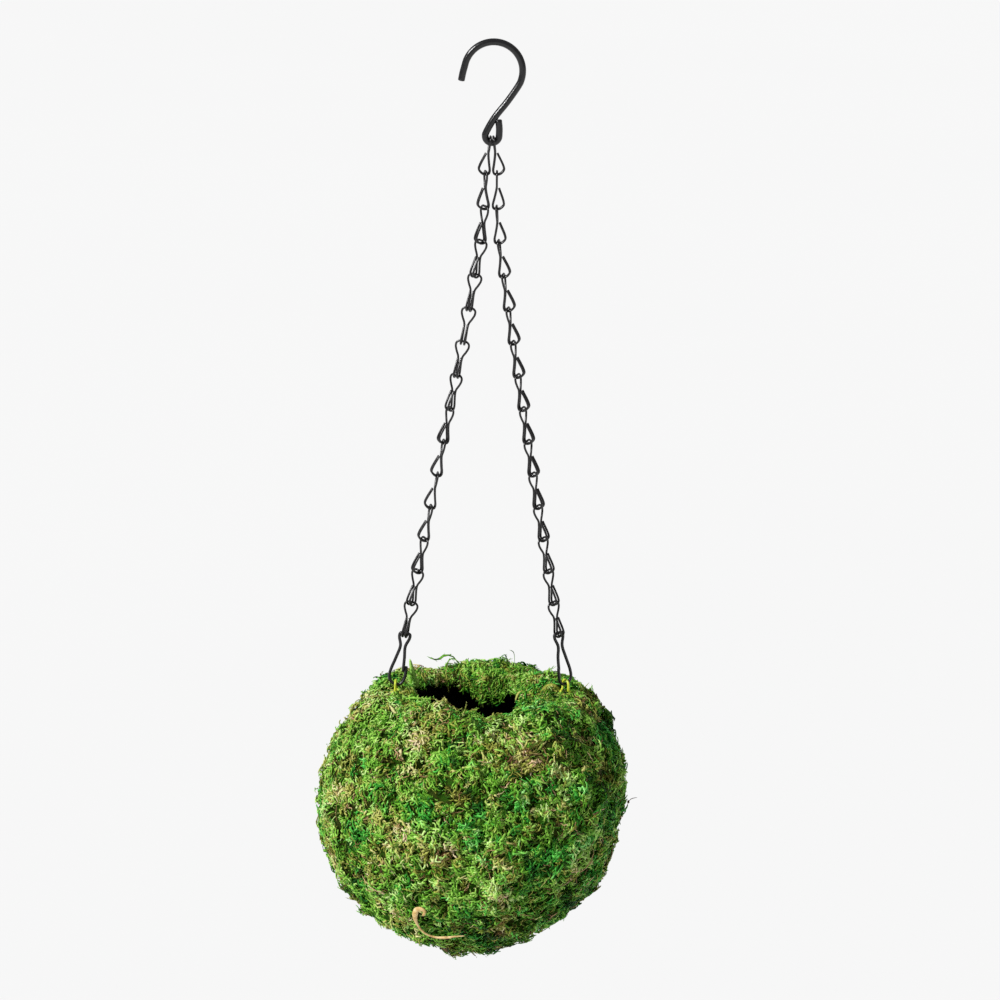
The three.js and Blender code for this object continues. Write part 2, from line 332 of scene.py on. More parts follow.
def moss_bed():
    """The matted floor under the strands: dark peat, dead stems and shaded green."""
    material, nodes, links, shader = new_material("moss_bed_peat")
    cloud = noise(nodes, links, 160, detail=4)
    fibre = noise(nodes, links, 1300, detail=4, roughness=0.7)
    peat = [(0.3, (0.010, 0.012, 0.001)), (0.55, (0.04, 0.055, 0.006)), (0.8, (0.13, 0.15, 0.02))]
    green = [(0.3, (0.008, 0.03, 0.001)), (0.6, (0.03, 0.11, 0.003)), (0.85, (0.1, 0.24, 0.012))]
    patch = ramp(nodes, links, cloud, [(0.42, (0, 0, 0)), (0.58, (1, 1, 1))])
    colour = mixed(nodes, links, patch, ramp(nodes, links, fibre, peat), ramp(nodes, links, fibre, green))
    links.new(colour, shader.inputs["Base Color"])
    shader.inputs["Roughness"].default_value = 0.95
    shader.inputs["Specular IOR Level"].default_value = 0.1
    bump(nodes, links, shader, fibre, 1.0, 0.002)
    return material


def husk_skin():
    """Dry tan leaf with darker veins along it."""
    material, nodes, links, shader = new_material("moss_husk_dry")
    cloud = noise(nodes, links, 240, detail=4)
    stops = [(0.3, (0.29, 0.16, 0.045)), (0.5, (0.56, 0.37, 0.13)), (0.72, (0.80, 0.62, 0.34))]
    links.new(ramp(nodes, links, cloud, stops), shader.inputs["Base Color"])
    links.new(spread(nodes, links, cloud, 0.4, 0.65), shader.inputs["Roughness"])
    bump(nodes, links, shader, noise(nodes, links, 900, detail=4), 0.5, 0.0006)
    return material


# ---- wire pieces ----

def turned(points, angle_y, angle_z, at):
    """Local points turned about Z, then about Y, and set down at a place."""
    matrix = Matrix.Rotation(angle_y, 3, "Y") @ Matrix.Rotation(angle_z, 3, "Z")
    return np.asarray(points, float) @ np.array(matrix).T + at


def arc_xz(centre_x, centre_z, radius, start, end, count):
    """Points on an arc that faces along Y. The angles are in degrees from +X towards +Z."""
    turns = np.radians(np.linspace(start, end, count))
    across, up = radius * np.cos(turns), radius * np.sin(turns)
    return np.stack([centre_x + across, np.zeros(count), centre_z + up], 1)


HOOK_WIRE = 4.3 * MM
HOOK_ARCH_R = 18 * MM
HOOK_EYE_R = 4.3 * MM


def make_hook(material):
    """An open arch at the top, a slanting shank, and an almost closed eye below."""
    arch_z = HOOK_WIRE / 2 - HOOK_ARCH_R
    arch = arc_xz(0, arch_z, HOOK_ARCH_R, 170, -24, 24)
    tail = [arch[0] + [x * MM, 0, z * MM] for x, z in [(-1.9, -8.6), (-1.1, -4.3)]]
    eye = arc_xz(0, EYE_Z, HOOK_EYE_R, 165, 360, 16)
    shank = [arch[-1] + (eye[0] - arch[-1]) * share for share in (0.35, 0.7)]
    shank[1][0] -= 1.2 * MM
    end = np.array([3.8 * MM, 0, EYE_Z + 9.3 * MM])
    before_end = (eye[-1] + end) / 2 + [0.3 * MM, 0, 0]
    path = curve_through(np.vstack([tail, arch, shank, eye, [before_end, end]]), 4)
    vertices, faces = tube(path, HOOK_WIRE / 2, 28)
    piece = mesh_piece("hook_wire_bend", vertices, faces, material, "hook")
    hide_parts("s_hook")


LINK_WIRE = 1.4 * MM
LINK_PITCH = 21.7 * MM
LOOP_X = 1.1
# one half of a link's wire, in millimetres: the eye it hangs by, its neck, and one of the two loops below
LINK_HALF = [
    (0, 0, 0),
    (2.3, 0, -0.1),
    (4.0, 0, -1.5),
    (4.2, 0, -3.6),
    (3.1, 0, -6.6),
    (1.5, 0, -9.8),
    (LOOP_X, -0.5, -13.0),
    (LOOP_X, -1.4, -17.0),
    (LOOP_X, -2.3, -21.0),
    (LOOP_X, -1.9, -22.8),
    (LOOP_X, -0.5, -23.5),
    (LOOP_X, 2.0, -23.2),
    (LOOP_X, 4.4, -21.0),
    (LOOP_X, 4.4, -19.0),
    (1.0, 1.5, -10.6),
]


def slant(index):
    """How far a link leans out of plumb, in radians."""
    first = [6.8, 0.4, 4.2]
    return math.radians(first[index] if index < len(first) else 9 + 1.5 * (index - 3) / (LINKS - 4))


def hanging_points(side):
    """Where each link of a strand hangs, and where its clip does."""
    points = [np.array([side * 0.9 * MM, 0, EYE_Z - 0.7 * MM])]
    for index in range(LINKS):
        step = np.array([side * math.sin(slant(index)), 0, -math.cos(slant(index))])
        points.append(points[-1] + LINK_PITCH * step)
    return points


def winding(side, index):
    """How far a link is wound about its own length, in degrees."""
    if side < 0:
        return -(50 + 40 * math.cos(2 * math.pi * index / 10))
    return 90 - 3.9 * index


def make_strand(side, material):
    """Fifteen folded wire links, each hanging in the two loops of the one above."""
    name = "left" if side < 0 else "right"
    points = hanging_points(side)
    half = np.array(LINK_HALF, float) * MM
    local = np.vstack([(half * [-1, 1, 1])[:0:-1], half])
    for index in range(LINKS):
        turn = math.pi + math.radians(winding(side, index))
        path = turned(curve_through(local, 5), -side * slant(index), turn, points[index])
        vertices, faces = tube(path, LINK_WIRE / 2, 12)
        number = f"{index + 1:02d}"
        link = f"{name}_link_{number}"
        piece = mesh_piece(f"{link}_wire", vertices, faces, material, f"links_{number}")
        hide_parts(link)


CLIP_WIRE = 2.0 * MM
CLIP_LENGTH = 34.8 * MM
CLIP_TURN = {-1: math.pi + math.radians(-8), 1: math.radians(32)}
# a clip's wire, in millimetres: the straight leg, the top bend, the other leg, the seat, and the hooked end
CLIP_POINTS = [
    (-3.1, 0.9, -24.6),
    (-2.4, 0.8, -16),
    (-1.6, 0, -8.6),
    (-3.35, 0, -2.8),
    (-3.15, 0, -0.5),
    (-2.1, 0, 0),
    (2.1, 0, 0),
    (3.15, 0, -0.5),
    (3.35, 0, -2.8),
    (1.6, 0, -8.6),
    (3.0, 0, -17),
    (5.0, 0, -26.5),
    (4.9, 0, -31),
    (3.2, 0, -33.6),
    (0, 0, -34.8),
    (-2.6, 0, -34.2),
    (-4.5, -0.3, -31.4),
    (-4.9, -0.9, -27),
    (-4.6, -1.2, -22.4),
]


def make_clip(side, material):
    """A spring-wire clip that leans from its strand out to the rim."""
    name = "left" if side < 0 else "right"
    top = hanging_points(side)[-1]
    top[2] = CLIP_TOP_Z
    lean = math.asin((RIM_R - abs(top[0])) / CLIP_LENGTH)
    path = turned(curve_through(np.array(CLIP_POINTS) * MM, 5), -side * lean, CLIP_TURN[side], top)
    vertices, faces = tube(path, CLIP_WIRE / 2, 16)
    piece = mesh_piece(f"{name}_clip_wire", vertices, faces, material, "clips")
    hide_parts(f"{name}_clip")


TIE_WIRE = 1.6 * MM
TIE_HALF_WIDTH = 3.0 * MM
TIE_TURN = {-1: math.radians(82), 1: math.radians(-58)}
TIE_TOP = CLIP_SEAT_HEIGHT + (CLIP_WIRE + TIE_WIRE) / 2 + 0.8 * MM
TIE_FOOT = RIM_HEIGHT - (RIM_WIRE + TIE_WIRE) / 2 - 0.4 * MM


def make_tie(side, material):
    """A tall loop from the rim ring up over the clip's bend, turned about a quarter on the way."""
    name = "left" if side < 0 else "right"
    high, low = TIE_TOP - TIE_HALF_WIDTH, TIE_FOOT + TIE_HALF_WIDTH
    flat = np.vstack([
        arc_xz(0, low, TIE_HALF_WIDTH, -82, 0, 8),
        arc_xz(0, high, TIE_HALF_WIDTH, 0, 180, 16),
        arc_xz(0, low, TIE_HALF_WIDTH, 180, 262, 8),
    ])
    flat = resampled(curve_through(flat, 3), 90)
    share = np.clip((flat[:, 2] - TIE_FOOT - 4.2 * MM) / (2.4 * MM), 0, 1)
    turn = TIE_TURN[side] * share * share * (3 - 2 * share)
    path = np.stack([flat[:, 0] * np.cos(turn), flat[:, 0] * np.sin(turn), flat[:, 2]], 1)
    path += BALL + [side * RIM_R, 0, 0]
    vertices, faces = tube(path, TIE_WIRE / 2, 12)
    piece = mesh_piece(f"{name}_tie_loop", vertices, faces, material, "basket")
    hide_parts(f"{name}_tie")


# ---- liner ----

LINER_R = 84.6 * MM
LINER_TOP = 66.5 * MM
LINER_FLOOR = -73.4 * MM
FILM = 0.5 * MM
PLEATS = 17


def make_liner(material, rng):
    """A bag of film pushed out against the frame, gathered in pleats towards its top edge."""
    segments, rows = 288, 90
    low, high = math.asin(LINER_FLOOR / LINER_R), math.asin(LINER_TOP / LINER_R)
    rise = np.linspace(low, high, rows)
    floor = np.linspace(0.04, 0.96, 12) * math.cos(low) * LINER_R
    radii = np.concatenate([floor, LINER_R * np.cos(rise)])
    heights = np.concatenate([np.full(len(floor), LINER_FLOOR), LINER_R * np.sin(rise)])
    share = np.clip(heights / LINER_TOP, 0, 1) ** 1.5
    turns = np.linspace(0, 2 * math.pi, segments, endpoint=False)
    circle = np.stack([np.cos(turns), np.sin(turns), np.zeros(segments)], 1)
    points = radii[:, None, None] * circle + np.array([0, 0, 1]) * heights[:, None, None]
    fine, broad = Lumps(rng, 9 * MM), Lumps(rng, 26 * MM)
    crumple = 1 - np.abs(fine(points)) + 0.8 * (1 - np.abs(broad(points)))
    pleats = np.abs(np.sin(turns * PLEATS + 3 * np.sin(turns * 3))) ** 0.6
    push = (0.5 * MM + 1.1 * MM * share)[:, None] * crumple + 2.2 * MM * share[:, None] * pleats[None]
    outward = unit(points)
    edge = 1.6 * MM * np.sin(turns * 5 + 1) + 1.2 * MM * np.sin(turns * 11 + 2)
    outer = points - outward * push[:, :, None]
    outer[:, :, 2] -= (share ** 4)[:, None] * (1.5 * MM + np.abs(edge)[None])
    inner = outer[::-1] - outward[::-1] * FILM
    middles = [[0, 0, LINER_FLOOR], [0, 0, LINER_FLOOR + FILM]]
    vertices = np.vstack([outer.reshape(-1, 3), inner.reshape(-1, 3), middles]) + BALL
    faces = capped_rows(2 * len(radii), segments)
    piece = mesh_piece("liner_film_bag", vertices, faces, material, "basket")
    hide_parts("plastic_liner")


# ---- moss ----

BED_R = 96 * MM
BED_INNER_R = 91.3 * MM
LIP_R = 50.5 * MM
SHOULDER = 46 * MM
CREST = (57 * MM, 72.3 * MM)
MOUTH_R = 47.5 * MM
LIP_FOOT = 58.5 * MM


def bezier(a, b, c, count):
    t = np.linspace(0, 1, count)[:, None]
    return (1 - t) ** 2 * np.array(a) + 2 * t * (1 - t) * np.array(b) + t * t * np.array(c)


def outer_profile():
    """The moss bed's section from the bottom of the ball, over the rim and down into the mouth."""
    turns = np.linspace(-math.pi / 2 + 0.01, math.asin(SHOULDER / BED_R), 60)
    ball = np.stack([BED_R * np.cos(turns), BED_R * np.sin(turns)], 1)
    over = bezier(ball[-1], (70 * MM, 72.5 * MM), CREST, 20)[1:]
    into = bezier(CREST, (MOUTH_R, 72.5 * MM), (MOUTH_R, LIP_FOOT), 16)[1:]
    return resampled(np.vstack([ball, over, into]), 240)


# Where the ball bulges or is drawn in, as directions from its centre, and by how many millimetres.
SLUMPS = [
    ((-0.8, -0.1, -0.2), 4.5),
    ((-0.6, 0, -0.8), 3.0),
    ((0, 0, -1), -1.6),
    ((0.8, 0, -0.5), -5.5),
    ((0.85, 0, 0.45), -1.0),
]

# Round the mouth: a compass angle and a half-width, both in degrees from +X, and a size.
LIP_DROOP = [(80, 24, 1.15), (10, 45, 0.6), (-90, 40, 0.35)]
LIP_LEDGE_MM = [(5, 42, 19.0), (76, 20, 5.0)]
CREST_DIP_MM = [(113, 26, 3.5), (-82, 12, 2.8), (-106, 8, -2.2)]
LEAST_DROOP = 0.2


def humps(turn, places):
    """A sum of smooth humps round the mouth."""
    total = 0 * turn
    for centre, width, size in places:
        away = np.angle(np.exp(1j * (turn - math.radians(centre))))
        total = total + size * np.exp(-((away / math.radians(width)) ** 2))
    return total


def from_tie(points, toward_viewer=1.0):
    """How far points lie from the nearer tie, in plan. The viewer's side can be counted as nearer."""
    across = points[..., 1] * np.where(points[..., 1] < 0, toward_viewer, 1)
    return np.minimum(*[np.hypot(points[..., 0] - side * RIM_R, across) for side in (-1, 1)])


class MossBed:
    """The lumpy surface that the strands grow from."""

    def __init__(self, rng):
        self.profile = outer_profile()
        slope = np.gradient(self.profile, axis=0)
        self.normals = unit(np.stack([slope[:, 1], -slope[:, 0]], 1))
        self.crest_row = int(np.argmax(self.profile[:, 1]))
        self.broad = Lumps(rng, 46 * MM)
        self.clumps = Lumps(rng, 15 * MM)
        self.knots = Lumps(rng, 7 * MM)

    def at(self, along, turn):
        """Points on the bed and their outward normals. along is from 0 at the bottom to 1 in the mouth."""
        last = len(self.profile) - 1
        row = np.clip(along, 0, 1) * last
        steps = np.arange(last + 1)
        radius = np.interp(row, steps, self.profile[:, 0])
        height = np.interp(row, steps, self.profile[:, 1])
        out = np.interp(row, steps, self.normals[:, 0])
        up = np.interp(row, steps, self.normals[:, 1])
        # past the crest the bed hangs into the mouth, and at the right it also makes a ledge
        into = np.clip((row - self.crest_row) / (last - self.crest_row), 0, 1)
        droop = LEAST_DROOP + humps(turn, LIP_DROOP)
        height = np.where(into > 0, CREST[1] - (CREST[1] - height) * droop, height)
        radius = radius - humps(turn, LIP_LEDGE_MM) * MM * into ** 0.8
        height = height - humps(turn, CREST_DIP_MM) * MM * np.clip((height - 56 * MM) / (14 * MM), 0, 1)
        c, s = np.cos(turn), np.sin(turn)
        points = np.stack([radius * c, radius * s, height], -1)
        normals = unit(np.stack([out * c, out * s, up], -1))
        points = points + normals * self.depth(points)[..., None]
        pit = np.exp(-((from_tie(points, 0.5) / (8 * MM)) ** 2))
        points[..., 2] -= 3.6 * MM * pit * np.clip((points[..., 2] - 60 * MM) / (10 * MM), 0, 1)
        return points, normals

    def depth(self, points):
        """How far the bed stands out of the even surface at these places."""
        lumps = 1.7 * self.broad(points) + 1.8 * self.clumps(points) + 0.6 * self.knots(points)
        faced = unit(points)
        for toward, stand in SLUMPS:
            lumps = lumps + stand * np.clip(faced @ unit(np.array(toward)), 0, 1) ** 3
        return lumps * MM

    def near(self, rng, along, turn, reach):
        """Places a short way from others on the bed."""
        steps = np.linspace(0, 1, len(self.profile))
        radius = np.interp(along, steps, self.profile[:, 0])
        length = np.linalg.norm(np.diff(self.profile, axis=0), axis=1).sum()
        shift = rng.normal(size=(2, len(along))) * reach
        return np.clip(along + shift[0] / length, 0, 1), turn + shift[1] / np.maximum(radius, 5 * MM)

    def scattered(self, rng, count, low=0.0, high=1.0):
        """Random places spread evenly over the bed."""
        steps = np.linspace(0, 1, len(self.profile))
        weight = self.profile[:, 0] * ((steps >= low) & (steps <= high))
        total = np.cumsum(weight) / weight.sum()
        along = np.interp(rng.uniform(size=count), total, steps)
        return along, rng.uniform(0, 2 * math.pi, count)


def strand_lines(rng, roots, normals, length, curl, lift, rings, heading):
    """Curled lines that lie on the bed: one end stays in it, and the rest arches or stands out."""
    count = len(roots)
    helper = np.where(np.abs(normals[:, 2:3]) < 0.9, [[0.0, 0.0, 1.0]], [[1.0, 0.0, 0.0]])
    east = unit(np.cross(helper, normals))
    north = np.cross(normals, east)
    share = np.linspace(0, 1, rings + 2)
    middle = (share[1:] + share[:-1]) / 2
    bend = heading[:, None] + curl[:, None] * (middle - 0.5) + 0.5 * rng.normal(size=(count, rings + 1))
    step = length[:, None] / (rings + 1)
    ahead = np.cos(bend)[..., None] * east[:, None] + np.sin(bend)[..., None] * north[:, None]
    travel = step[..., None] * ahead
    lines = np.concatenate([np.zeros((count, 1, 3)), np.cumsum(travel, 1)], 1)
    lines -= lines.mean(1, keepdims=True)
    swing = rng.uniform(0.35, 1.0, count)[:, None]
    rise = np.sin(share[None] * math.pi * swing + rng.uniform(-0.3, 0.3, count)[:, None])
    height = lift[:, None] * rise - 0.25 * np.abs(lift)[:, None]
    return roots[:, None] + lines + normals[:, None] * height[..., None]


def skinned(rng, lines, normals, width, leafy=0.0, flat=0.54):
    """Three-sided strands along lines, pointed at both ends: vertices, faces, and how far along each is."""
    count, rings = lines.shape[0], lines.shape[1] - 2
    share = np.linspace(0, 1, rings + 2)
    tangents = unit(np.gradient(lines, axis=1))
    side = unit(np.cross(tangents, normals[:, None]))
    up = np.cross(side, tangents)
    turns = 2 * math.pi * np.arange(3) / 3 + rng.uniform(0, 2 * math.pi, count)[:, None, None]
    thin = np.sin(math.pi * np.clip(share[1:-1] * 0.86 + 0.1, 0, 1)) ** 0.6
    ripple = 1 + leafy * np.where(np.arange(rings) % 2 == 0, 1, -1)
    radius = width[:, None] / 2 * thin * ripple
    ring = np.cos(turns)[..., None] * side[:, 1:-1, None] * 1.3
    ring = ring + np.sin(turns)[..., None] * up[:, 1:-1, None] * 1.3 * flat
    ring = ring * radius[:, :, None, None] + lines[:, 1:-1, None]
    vertices = np.concatenate([lines[:, :1], ring.reshape(count, -1, 3), lines[:, -1:]], 1)
    faces = []
    last = rings * 3 + 1
    for k in range(3):
        after = (k + 1) % 3
        faces.append((0, 1 + after, 1 + k))
        faces.append((last, last - 3 + k, last - 3 + after))
        for r in range(rings - 1):
            a, b, c, d = 1 + r * 3 + k, 1 + r * 3 + after, 4 + r * 3 + after, 4 + r * 3 + k
            faces += [(a, b, c), (a, c, d)]
    along = np.concatenate([[0], np.repeat(share[1:-1], 3), [1]])
    return vertices, np.array(faces), along


# a leaf's six vertices are its foot, four round its widest place and its tip
FOOT_FACES = [(0, 2, 1), (0, 3, 2), (0, 4, 3), (0, 1, 4)]
TIP_FACES = [(5, 1, 2), (5, 2, 3), (5, 3, 4), (5, 4, 1)]
LEAF_FACES = np.array(FOOT_FACES + TIP_FACES)
LEAF_SHARE = np.array([0, 0.4, 0.4, 0.4, 0.4, 1.0])


def leaves(bases, directions, normals, length, width):
    """Small pointed leaves, six vertices each."""
    side = unit(np.cross(directions, normals))
    up = np.cross(side, directions)
    middle = bases + directions * (0.4 * length)[:, None]
    half, thick = (width / 2)[:, None], (width / 7)[:, None]
    tip = bases + directions * length[:, None]
    corners = [side * half, up * thick, -side * half, -up * thick]
    return np.stack([bases, *[middle + corner for corner in corners], tip], 1)


def sprig_groups(rng, lines, normals, width, leaf, tone, hue):
    """Feathery shoots: a stem along each line and a row of leaves on either side, as groups of strands."""
    stems, faces, share = skinned(rng, lines, normals, width)
    groups = [(stems, faces, (tone - 0.12)[:, None] + 0.1 * share[None], hue + 0.05)]
    tangents = unit(np.gradient(lines, axis=1))
    count, steps = lines.shape[:2]
    for step in range(1, steps):
        taper = 1.15 - 0.75 * step / steps
        for way in (-1, 1):
            side = unit(np.cross(tangents[:, step], normals)) * way
            directions = unit(tangents[:, step] * 0.75 + side * 0.8 + 0.28 * rng.normal(size=(count, 3)))
            size = leaf * taper * rng.uniform(0.7, 1.2, count)
            shape = leaves(lines[:, step], directions, normals, size, size * 0.42)
            value = tone[:, None] + 0.22 * (LEAF_SHARE[None] - 0.5) + 0.08 * rng.normal(size=(count, 1))
            groups.append((shape, LEAF_FACES, value, hue + 0.04 * rng.normal(size=count)))
    return groups


def strand_piece(name, groups, material):
    """One mesh out of several groups of strands. A group is vertices, faces, tone and hue."""
    vertices, faces, tones, hues, offset = [], [], [], [], 0
    for shape, triangles, tone, hue in groups:
        count, size = shape.shape[:2]
        vertices.append(shape.reshape(-1, 3))
        starts = offset + np.arange(count) * size
        faces.append((starts[:, None, None] + triangles[None]).reshape(-1, 3))
        tones.append(tone.ravel())
        hues.append(np.repeat(hue, size))
        offset += count * size
    everywhere = np.vstack(vertices) + BALL
    piece = mesh_piece(name, everywhere, [np.vstack(faces)], material, "basket")
    point_values(piece, "tone", np.concatenate(tones))
    point_values(piece, "hue", np.concatenate(hues))


def clear_of_ties(points):
    """True away from the two pits that the ties come out of."""
    return from_tie(points) > np.where(points[:, 2] > 71.5 * MM, 5.6 * MM, 2.6 * MM)


BAND_EDGES = [-40 * MM, 14 * MM]
PATCHES = 12
TUFTS = 5600
STRANDS_IN_TUFT = 7
LOOSE_STRANDS = 15000
FRINGE_STRANDS = 6500
COLLAR_STRANDS = 520
STEMS = 1700
SPRIGS = 880
CREST_SPRIGS = 170


def make_moss_bed(bed, material):
    """A closed shell: the lumpy bed outside, and the even inside that rests on the frame."""
    segments = 320
    turns = np.linspace(0, 2 * math.pi, segments, endpoint=False)
    rows = np.linspace(0, 1, 200)
    along, turn = np.meshgrid(rows, turns, indexing="ij")
    outside, _ = bed.at(along, turn)
    inner_turns = np.linspace(math.asin(64 * MM / BED_INNER_R), -math.pi / 2 + 0.01, 60)
    inner = [(BED_INNER_R * math.cos(a), BED_INNER_R * math.sin(a)) for a in inner_turns]
    inner = [(LIP_R, 66 * MM), *inner]
    inside = np.array([[(r * math.cos(t), r * math.sin(t), z) for t in turns] for r, z in inner])
    lip = np.stack([LIP_R * np.cos(turns), LIP_R * np.sin(turns), outside[-1, :, 2] + 0.5 * MM], 1)
    stack = np.concatenate([outside, lip[None], inside])
    ends = [outside[0].mean(0), inside[-1].mean(0)]
    vertices = np.vstack([stack.reshape(-1, 3), ends]) + BALL
    faces = capped_rows(len(stack), segments)
    piece = mesh_piece("moss_bed_mat", vertices, faces, material, "basket")
    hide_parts("moss_shell")


def between(rng, count, low, high, lean=2.5):
    """Random sizes in millimetres, more of them near the low end as lean grows."""
    return (low + (high - low) * rng.beta(1.8, lean, count)) * MM


def painted_mouth_shade(points):
    """Painted shade: how much darker moss is painted down in the mouth, where shadow falls."""
    inside = np.hypot(points[:, 0], points[:, 1]) < 52 * MM
    return 0.34 * inside * np.clip((68 * MM - points[:, 2]) / (16 * MM), 0, 1) * (points[:, 2] > 0)


def painted_side_light(points):
    """Painted light and shade: moss is painted a little lighter high on the left side, where the key light
    falls, than low on the right, and painted darker underneath, where it lies in shade.
    """
    under = np.clip(-points[:, 2] / BED_R, 0, 1) ** 2
    return 0.12 * points @ unit(np.array([-0.9, 0, 0.45])) / BED_R - 0.11 * under


def patch_of(points):
    """Which patch a strand belongs to: four compass quarters in each of three bands."""
    quarter = (points[:, 0] > 0) * 1 + (points[:, 1] > 0) * 2
    return quarter + 4 * np.searchsorted(BAND_EDGES, points[:, 2])


def make_moss(bed, material, rng):
    """The strands, in patches by compass quarter and by height."""
    hue_patch, tone_patch, flow = Lumps(rng, 34 * MM), Lumps(rng, 12 * MM), Lumps(rng, 24 * MM)
    tone_area = Lumps(rng, 44 * MM)
    patches = [[] for _ in range(PATCHES)]

    def grow(along, turn, heading, proud, tone, hue, shape):
        roots, normals = bed.at(along, turn)
        keep = clear_of_ties(roots)
        roots, normals, heading, proud = roots[keep], normals[keep], heading[keep], proud[keep]
        tone, hue, count = tone[keep], hue[keep], keep.sum()
        lines = strand_lines(
            rng,
            roots + normals * proud[:, None],
            unit(normals + shape["lean"] * rng.normal(size=(count, 3))),
            between(rng, count, *shape["length"]),
            shape["curl"] * rng.normal(size=count),
            between(rng, count, *shape["lift"], lean=3.2),
            shape["rings"],
            heading,
        )
        width = between(rng, count, *shape["width"])
        strands, faces, share = skinned(rng, lines, normals, width, shape["leafy"])
        # painted shade: tone is lowered for strands rooted down in the mouth
        tone = (tone - painted_mouth_shade(roots))[:, None] + 0.26 * (share[None] - 0.5)
        for patch in range(PATCHES):
            chosen = patch_of(roots) == patch
            patches[patch].append((strands[chosen], faces, tone[chosen], hue[chosen]))

    # tufts: a few fronds that lie one way and share a colour, combed aslant at the lower right
    along, turn = bed.scattered(rng, TUFTS)
    centres, _ = bed.at(along, turn)
    combed = np.clip((0.8 * centres[:, 0] - 0.7 * centres[:, 2]) / (75 * MM), 0, 1) ** 2
    heading = (1 - combed) * math.pi * flow(centres) + 0.6 * combed
    heading = heading + (0.7 - 0.3 * combed) * rng.normal(size=TUFTS)
    proud = between(rng, TUFTS, 0, 2.8)
    # lightness and tint carry painted light and shade: lighter and yellower high on the left, where the key
    # light falls, darker low on the right and underneath
    lightness = 0.465 + 0.14 * tone_patch(centres) + 0.15 * tone_area(centres) + painted_side_light(centres)
    tint = 0.43 + 0.19 * hue_patch(centres) - 0.06 * combed + 0.5 * painted_side_light(centres)
    tone = lightness + 0.15 * rng.normal(size=TUFTS)
    hue = tint + 0.17 * rng.normal(size=TUFTS)
    owner = np.repeat(np.arange(TUFTS), STRANDS_IN_TUFT)
    count = len(owner)
    along, turn = bed.near(rng, along[owner], turn[owner], 1.7 * MM)
    grow(
        along,
        turn,
        heading[owner] + 0.55 * rng.normal(size=count),
        proud[owner] * rng.uniform(0.3, 1.0, count),
        tone[owner] + 0.115 * rng.normal(size=count),
        hue[owner] + 0.05 * rng.normal(size=count),
        dict(length=(4.5, 13), width=(0.7, 1.8), curl=1.6, lift=(0.5, 4.4), rings=5, leafy=0.25, lean=0.3),
    )
    # loose curls between them
    along, turn = bed.scattered(rng, LOOSE_STRANDS)
    centres, _ = bed.at(along, turn)
    # lightness and the hue below carry painted light and shade: lighter and yellower high on the left, where
    # the key light falls, darker low on the right and underneath
    lightness = 0.465 + 0.11 * tone_patch(centres) + 0.09 * tone_area(centres) + painted_side_light(centres)
    grow(
        along,
        turn,
        rng.uniform(0, 2 * math.pi, LOOSE_STRANDS),
        np.zeros(LOOSE_STRANDS),
        lightness - 0.07 + 0.2 * rng.normal(size=LOOSE_STRANDS),
        0.46 + 0.16 * hue_patch(centres) + 0.5 * painted_side_light(centres) + 0.2 * rng.normal(size=LOOSE_STRANDS),
        dict(length=(3.0, 8.0), width=(0.45, 1.0), curl=4.0, lift=(0.8, 4.6), rings=4, leafy=0.0, lean=0.4),
    )
    for patch, groups in enumerate(patches):
        strand_piece(f"moss_patch_{patch + 1}", groups, material)


def make_mouth_fringe(bed, material, rng):
    """Looser moss on the lip and the ledge, some of it hanging into the mouth."""
    count = FRINGE_STRANDS
    turn = rng.normal(math.radians(20), math.radians(75), count)
    lip = bed.crest_row / (len(bed.profile) - 1)
    along = lip + (1 - lip) * rng.uniform(0.1, 1.0, count)
    roots, normals = bed.at(along, turn)
    inward = np.stack([-np.cos(turn), -np.sin(turn), np.full(count, 0.5)], 1)
    hang = rng.beta(1.3, 3.5, count) * 6 * MM * humps(turn, LIP_DROOP)
    roots = roots + inward * (hang * 0.5)[:, None] - np.array([0, 0, 1]) * (hang * along ** 4)[:, None]
    lines = strand_lines(
        rng,
        roots,
        unit(inward + 0.6 * rng.normal(size=(count, 3))),
        between(rng, count, 4, 12),
        2.0 * rng.normal(size=count),
        between(rng, count, 0.8, 4.0),
        5,
        rng.uniform(0, 2 * math.pi, count),
    )
    strands, faces, share = skinned(rng, lines, unit(inward), between(rng, count, 0.6, 1.5), 0.25)
    # painted shade: tone is lowered for strands rooted down in the mouth
    tone = (0.5 + 0.18 * rng.normal(size=count) - painted_mouth_shade(roots))[:, None] + 0.25 * (share[None] - 0.5)
    hue = 0.42 + 0.17 * rng.normal(size=count) + humps(turn, [(12, 26, 0.24)])
    strand_piece("moss_mouth_fringe", [(strands, faces, tone, hue)], material)


def make_tie_collars(material, rng):
    """Short low moss round the foot of each tie, over the rim's wire."""
    side = rng.choice([-1, 1], COLLAR_STRANDS)
    away, turn = rng.uniform(2.6, 7.0, COLLAR_STRANDS) * MM, rng.uniform(0, 2 * math.pi, COLLAR_STRANDS)
    height = rng.uniform(68.8, 71.4, COLLAR_STRANDS) * MM
    roots = np.stack([side * RIM_R + away * np.cos(turn), away * np.sin(turn), height], 1)
    upward = unit(np.array([0, 0, 1]) + 0.3 * rng.normal(size=(COLLAR_STRANDS, 3)))
    lines = strand_lines(
        rng,
        roots,
        upward,
        between(rng, COLLAR_STRANDS, 2.5, 6),
        2.0 * rng.normal(size=COLLAR_STRANDS),
        between(rng, COLLAR_STRANDS, 0.4, 1.8),
        4,
        turn + math.pi / 2 + 0.5 * rng.normal(size=COLLAR_STRANDS),
    )
    strands, faces, share = skinned(rng, lines, upward, between(rng, COLLAR_STRANDS, 0.6, 1.3), 0.25)
    tone = 0.46 + 0.16 * rng.normal(size=COLLAR_STRANDS)[:, None] + 0.25 * (share[None] - 0.5)
    hue = 0.52 + 0.15 * rng.normal(size=COLLAR_STRANDS)
    strand_piece("moss_tie_collars", [(strands, faces, tone, hue)], material)


